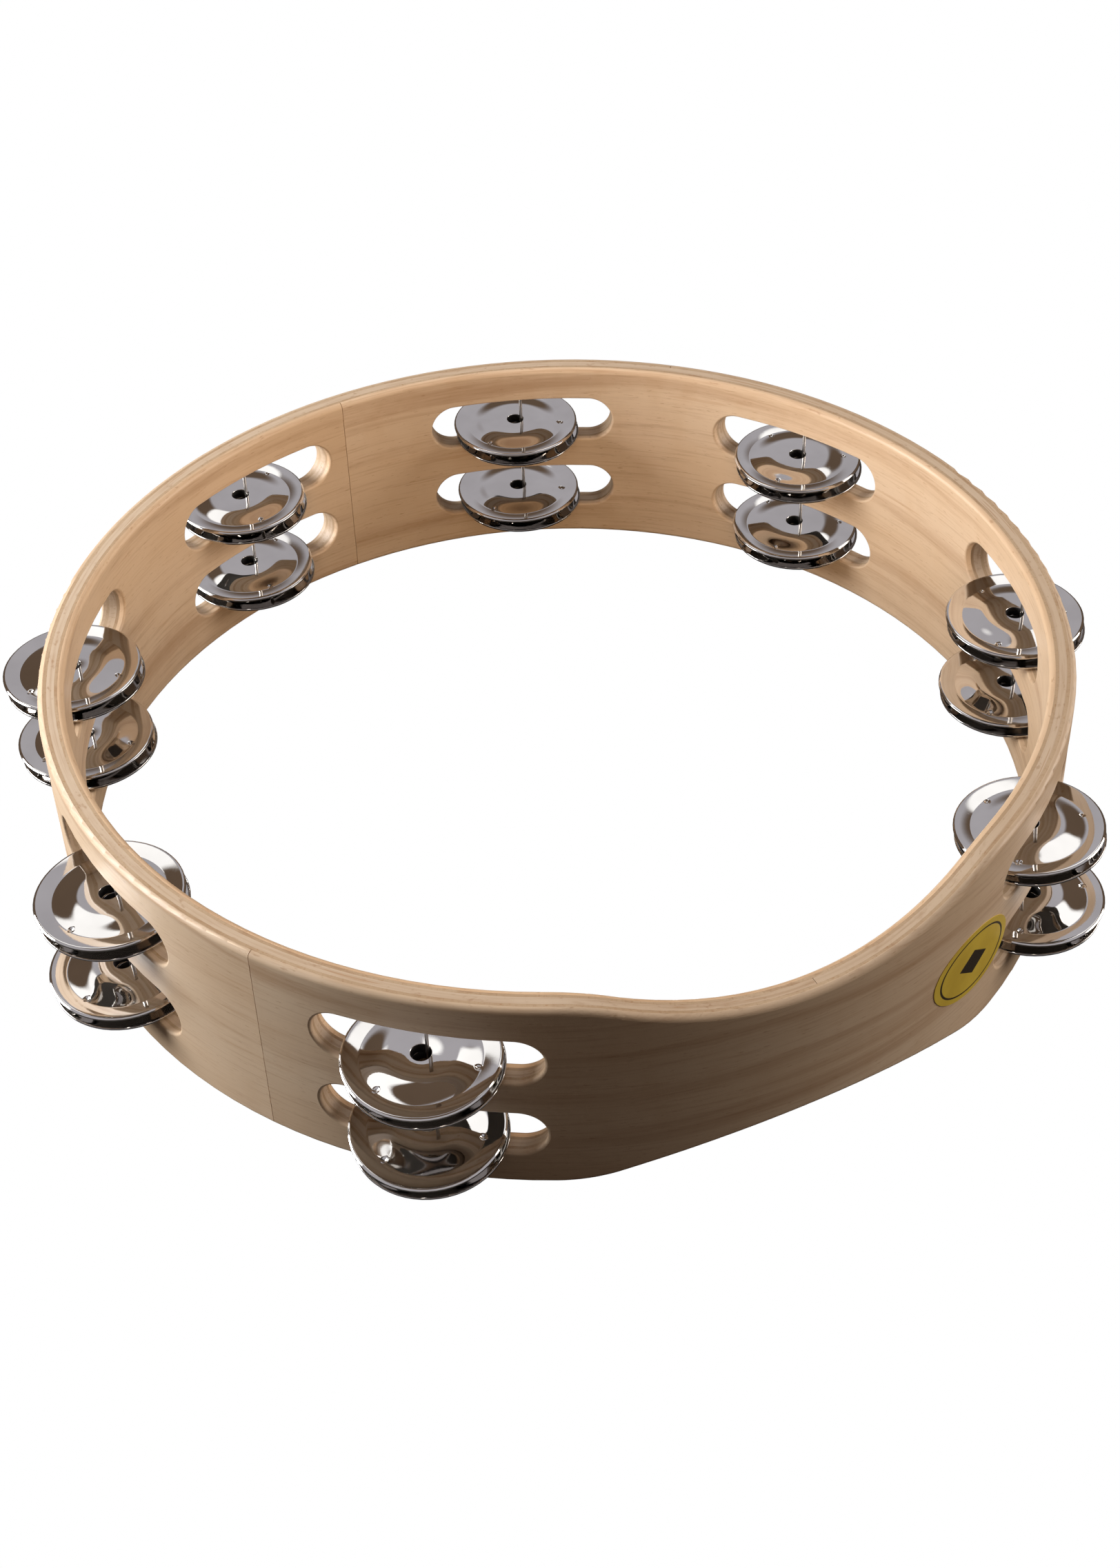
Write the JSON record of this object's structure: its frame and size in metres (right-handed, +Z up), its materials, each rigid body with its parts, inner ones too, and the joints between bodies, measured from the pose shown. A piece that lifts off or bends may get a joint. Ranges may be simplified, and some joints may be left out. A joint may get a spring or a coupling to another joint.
{
  "type": "tambourine",
  "caption": "Round headless tambourine: a bent-plywood hoop with a scooped hand grip and two rows of slots, where paired metal jingles slide on wire pins.",
  "frame": {"origin": "on the hoop's axis, in the plane of the bottom rim that the instrument rests on", "axes": "+Z up along the hoop's axis; -Y towards the hand grip, the place round the hoop that has no jingles; +X to the right when the grip faces the viewer"},
  "size_m": [0.2787, 0.2632, 0.056],
  "materials": {
    "face_veneer": "smooth sanded maple veneer under a thin satin lacquer",
    "cross_veneer": "darker cross-banded veneer, seen only as edge lines at the rims and in the slots",
    "core_wood": "pale core strip, seen only at the rims and in the slots",
    "badge_film": "yellow-gold printed film, semi-gloss",
    "pin_wire": "bright drawn steel wire",
    "jingle_plate": "bright nickel plate on stamped steel"
  },
  "bodies": {
    "hoop": {"outer_face_ply": "face_veneer", "outer_cross_ply": "cross_veneer", "core_ply": "core_wood", "inner_cross_ply": "cross_veneer", "inner_face_ply": "face_veneer", "badge": "badge_film", "pin_1": "pin_wire", "pin_2": "pin_wire", "pin_3": "pin_wire", "pin_4": "pin_wire", "pin_5": "pin_wire", "pin_6": "pin_wire", "pin_7": "pin_wire", "pin_8": "pin_wire"},
    "jingle_1_bottom_lower": {"jingle_1_bottom_lower": "jingle_plate"},
    "jingle_1_bottom_upper": {"jingle_1_bottom_upper": "jingle_plate"},
    "jingle_1_top_lower": {"jingle_1_top_lower": "jingle_plate"},
    "jingle_1_top_upper": {"jingle_1_top_upper": "jingle_plate"},
    "jingle_2_bottom_lower": {"jingle_2_bottom_lower": "jingle_plate"},
    "jingle_2_bottom_upper": {"jingle_2_bottom_upper": "jingle_plate"},
    "jingle_2_top_lower": {"jingle_2_top_lower": "jingle_plate"},
    "jingle_2_top_upper": {"jingle_2_top_upper": "jingle_plate"},
    "jingle_3_bottom_lower": {"jingle_3_bottom_lower": "jingle_plate"},
    "jingle_3_bottom_upper": {"jingle_3_bottom_upper": "jingle_plate"},
    "jingle_3_top_lower": {"jingle_3_top_lower": "jingle_plate"},
    "jingle_3_top_upper": {"jingle_3_top_upper": "jingle_plate"},
    "jingle_4_bottom_lower": {"jingle_4_bottom_lower": "jingle_plate"},
    "jingle_4_bottom_upper": {"jingle_4_bottom_upper": "jingle_plate"},
    "jingle_4_top_lower": {"jingle_4_top_lower": "jingle_plate"},
    "jingle_4_top_upper": {"jingle_4_top_upper": "jingle_plate"},
    "jingle_5_bottom_lower": {"jingle_5_bottom_lower": "jingle_plate"},
    "jingle_5_bottom_upper": {"jingle_5_bottom_upper": "jingle_plate"},
    "jingle_5_top_lower": {"jingle_5_top_lower": "jingle_plate"},
    "jingle_5_top_upper": {"jingle_5_top_upper": "jingle_plate"},
    "jingle_6_bottom_lower": {"jingle_6_bottom_lower": "jingle_plate"},
    "jingle_6_bottom_upper": {"jingle_6_bottom_upper": "jingle_plate"},
    "jingle_6_top_lower": {"jingle_6_top_lower": "jingle_plate"},
    "jingle_6_top_upper": {"jingle_6_top_upper": "jingle_plate"},
    "jingle_7_bottom_lower": {"jingle_7_bottom_lower": "jingle_plate"},
    "jingle_7_bottom_upper": {"jingle_7_bottom_upper": "jingle_plate"},
    "jingle_7_top_lower": {"jingle_7_top_lower": "jingle_plate"},
    "jingle_7_top_upper": {"jingle_7_top_upper": "jingle_plate"},
    "jingle_8_bottom_lower": {"jingle_8_bottom_lower": "jingle_plate"},
    "jingle_8_bottom_upper": {"jingle_8_bottom_upper": "jingle_plate"},
    "jingle_8_top_lower": {"jingle_8_top_lower": "jingle_plate"},
    "jingle_8_top_upper": {"jingle_8_top_upper": "jingle_plate"}
  },
  "joints": [
    {"name": "jingle_1_bottom_lower_slide", "type": "slide", "parent": "hoop", "child": "jingle_1_bottom_lower", "axis": [0, 0, 1], "range_m": [0, 0.0037]},
    {"name": "jingle_1_bottom_upper_slide", "type": "slide", "parent": "jingle_1_bottom_lower", "child": "jingle_1_bottom_upper", "axis": [0, 0, 1], "range_m": [0, 0.0037]},
    {"name": "jingle_1_top_lower_slide", "type": "slide", "parent": "hoop", "child": "jingle_1_top_lower", "axis": [0, 0, 1], "range_m": [0, 0.0037]},
    {"name": "jingle_1_top_upper_slide", "type": "slide", "parent": "jingle_1_top_lower", "child": "jingle_1_top_upper", "axis": [0, 0, 1], "range_m": [0, 0.0037]},
    {"name": "jingle_2_bottom_lower_slide", "type": "slide", "parent": "hoop", "child": "jingle_2_bottom_lower", "axis": [0, 0, 1], "range_m": [0, 0.0037]},
    {"name": "jingle_2_bottom_upper_slide", "type": "slide", "parent": "jingle_2_bottom_lower", "child": "jingle_2_bottom_upper", "axis": [0, 0, 1], "range_m": [0, 0.0037]},
    {"name": "jingle_2_top_lower_slide", "type": "slide", "parent": "hoop", "child": "jingle_2_top_lower", "axis": [0, 0, 1], "range_m": [0, 0.0037]},
    {"name": "jingle_2_top_upper_slide", "type": "slide", "parent": "jingle_2_top_lower", "child": "jingle_2_top_upper", "axis": [0, 0, 1], "range_m": [0, 0.0037]},
    {"name": "jingle_3_bottom_lower_slide", "type": "slide", "parent": "hoop", "child": "jingle_3_bottom_lower", "axis": [0, 0, 1], "range_m": [0, 0.0037]},
    {"name": "jingle_3_bottom_upper_slide", "type": "slide", "parent": "jingle_3_bottom_lower", "child": "jingle_3_bottom_upper", "axis": [0, 0, 1], "range_m": [0, 0.0037]},
    {"name": "jingle_3_top_lower_slide", "type": "slide", "parent": "hoop", "child": "jingle_3_top_lower", "axis": [0, 0, 1], "range_m": [0, 0.0037]},
    {"name": "jingle_3_top_upper_slide", "type": "slide", "parent": "jingle_3_top_lower", "child": "jingle_3_top_upper", "axis": [0, 0, 1], "range_m": [0, 0.0037]},
    {"name": "jingle_4_bottom_lower_slide", "type": "slide", "parent": "hoop", "child": "jingle_4_bottom_lower", "axis": [0, 0, 1], "range_m": [0, 0.0037]},
    {"name": "jingle_4_bottom_upper_slide", "type": "slide", "parent": "jingle_4_bottom_lower", "child": "jingle_4_bottom_upper", "axis": [0, 0, 1], "range_m": [0, 0.0037]},
    {"name": "jingle_4_top_lower_slide", "type": "slide", "parent": "hoop", "child": "jingle_4_top_lower", "axis": [0, 0, 1], "range_m": [0, 0.0037]},
    {"name": "jingle_4_top_upper_slide", "type": "slide", "parent": "jingle_4_top_lower", "child": "jingle_4_top_upper", "axis": [0, 0, 1], "range_m": [0, 0.0037]},
    {"name": "jingle_5_bottom_lower_slide", "type": "slide", "parent": "hoop", "child": "jingle_5_bottom_lower", "axis": [0, 0, 1], "range_m": [0, 0.0037]},
    {"name": "jingle_5_bottom_upper_slide", "type": "slide", "parent": "jingle_5_bottom_lower", "child": "jingle_5_bottom_upper", "axis": [0, 0, 1], "range_m": [0, 0.0037]},
    {"name": "jingle_5_top_lower_slide", "type": "slide", "parent": "hoop", "child": "jingle_5_top_lower", "axis": [0, 0, 1], "range_m": [0, 0.0037]},
    {"name": "jingle_5_top_upper_slide", "type": "slide", "parent": "jingle_5_top_lower", "child": "jingle_5_top_upper", "axis": [0, 0, 1], "range_m": [0, 0.0037]},
    {"name": "jingle_6_bottom_lower_slide", "type": "slide", "parent": "hoop", "child": "jingle_6_bottom_lower", "axis": [0, 0, 1], "range_m": [0, 0.0037]},
    {"name": "jingle_6_bottom_upper_slide", "type": "slide", "parent": "jingle_6_bottom_lower", "child": "jingle_6_bottom_upper", "axis": [0, 0, 1], "range_m": [0, 0.0037]},
    {"name": "jingle_6_top_lower_slide", "type": "slide", "parent": "hoop", "child": "jingle_6_top_lower", "axis": [0, 0, 1], "range_m": [0, 0.0037]},
    {"name": "jingle_6_top_upper_slide", "type": "slide", "parent": "jingle_6_top_lower", "child": "jingle_6_top_upper", "axis": [0, 0, 1], "range_m": [0, 0.0037]},
    {"name": "jingle_7_bottom_lower_slide", "type": "slide", "parent": "hoop", "child": "jingle_7_bottom_lower", "axis": [0, 0, 1], "range_m": [0, 0.0037]},
    {"name": "jingle_7_bottom_upper_slide", "type": "slide", "parent": "jingle_7_bottom_lower", "child": "jingle_7_bottom_upper", "axis": [0, 0, 1], "range_m": [0, 0.0037]},
    {"name": "jingle_7_top_lower_slide", "type": "slide", "parent": "hoop", "child": "jingle_7_top_lower", "axis": [0, 0, 1], "range_m": [0, 0.0037]},
    {"name": "jingle_7_top_upper_slide", "type": "slide", "parent": "jingle_7_top_lower", "child": "jingle_7_top_upper", "axis": [0, 0, 1], "range_m": [0, 0.0037]},
    {"name": "jingle_8_bottom_lower_slide", "type": "slide", "parent": "hoop", "child": "jingle_8_bottom_lower", "axis": [0, 0, 1], "range_m": [0, 0.0037]},
    {"name": "jingle_8_bottom_upper_slide", "type": "slide", "parent": "jingle_8_bottom_lower", "child": "jingle_8_bottom_upper", "axis": [0, 0, 1], "range_m": [0, 0.0037]},
    {"name": "jingle_8_top_lower_slide", "type": "slide", "parent": "hoop", "child": "jingle_8_top_lower", "axis": [0, 0, 1], "range_m": [0, 0.0037]},
    {"name": "jingle_8_top_upper_slide", "type": "slide", "parent": "jingle_8_top_lower", "child": "jingle_8_top_upper", "axis": [0, 0, 1], "range_m": [0, 0.0037]}
  ]
}
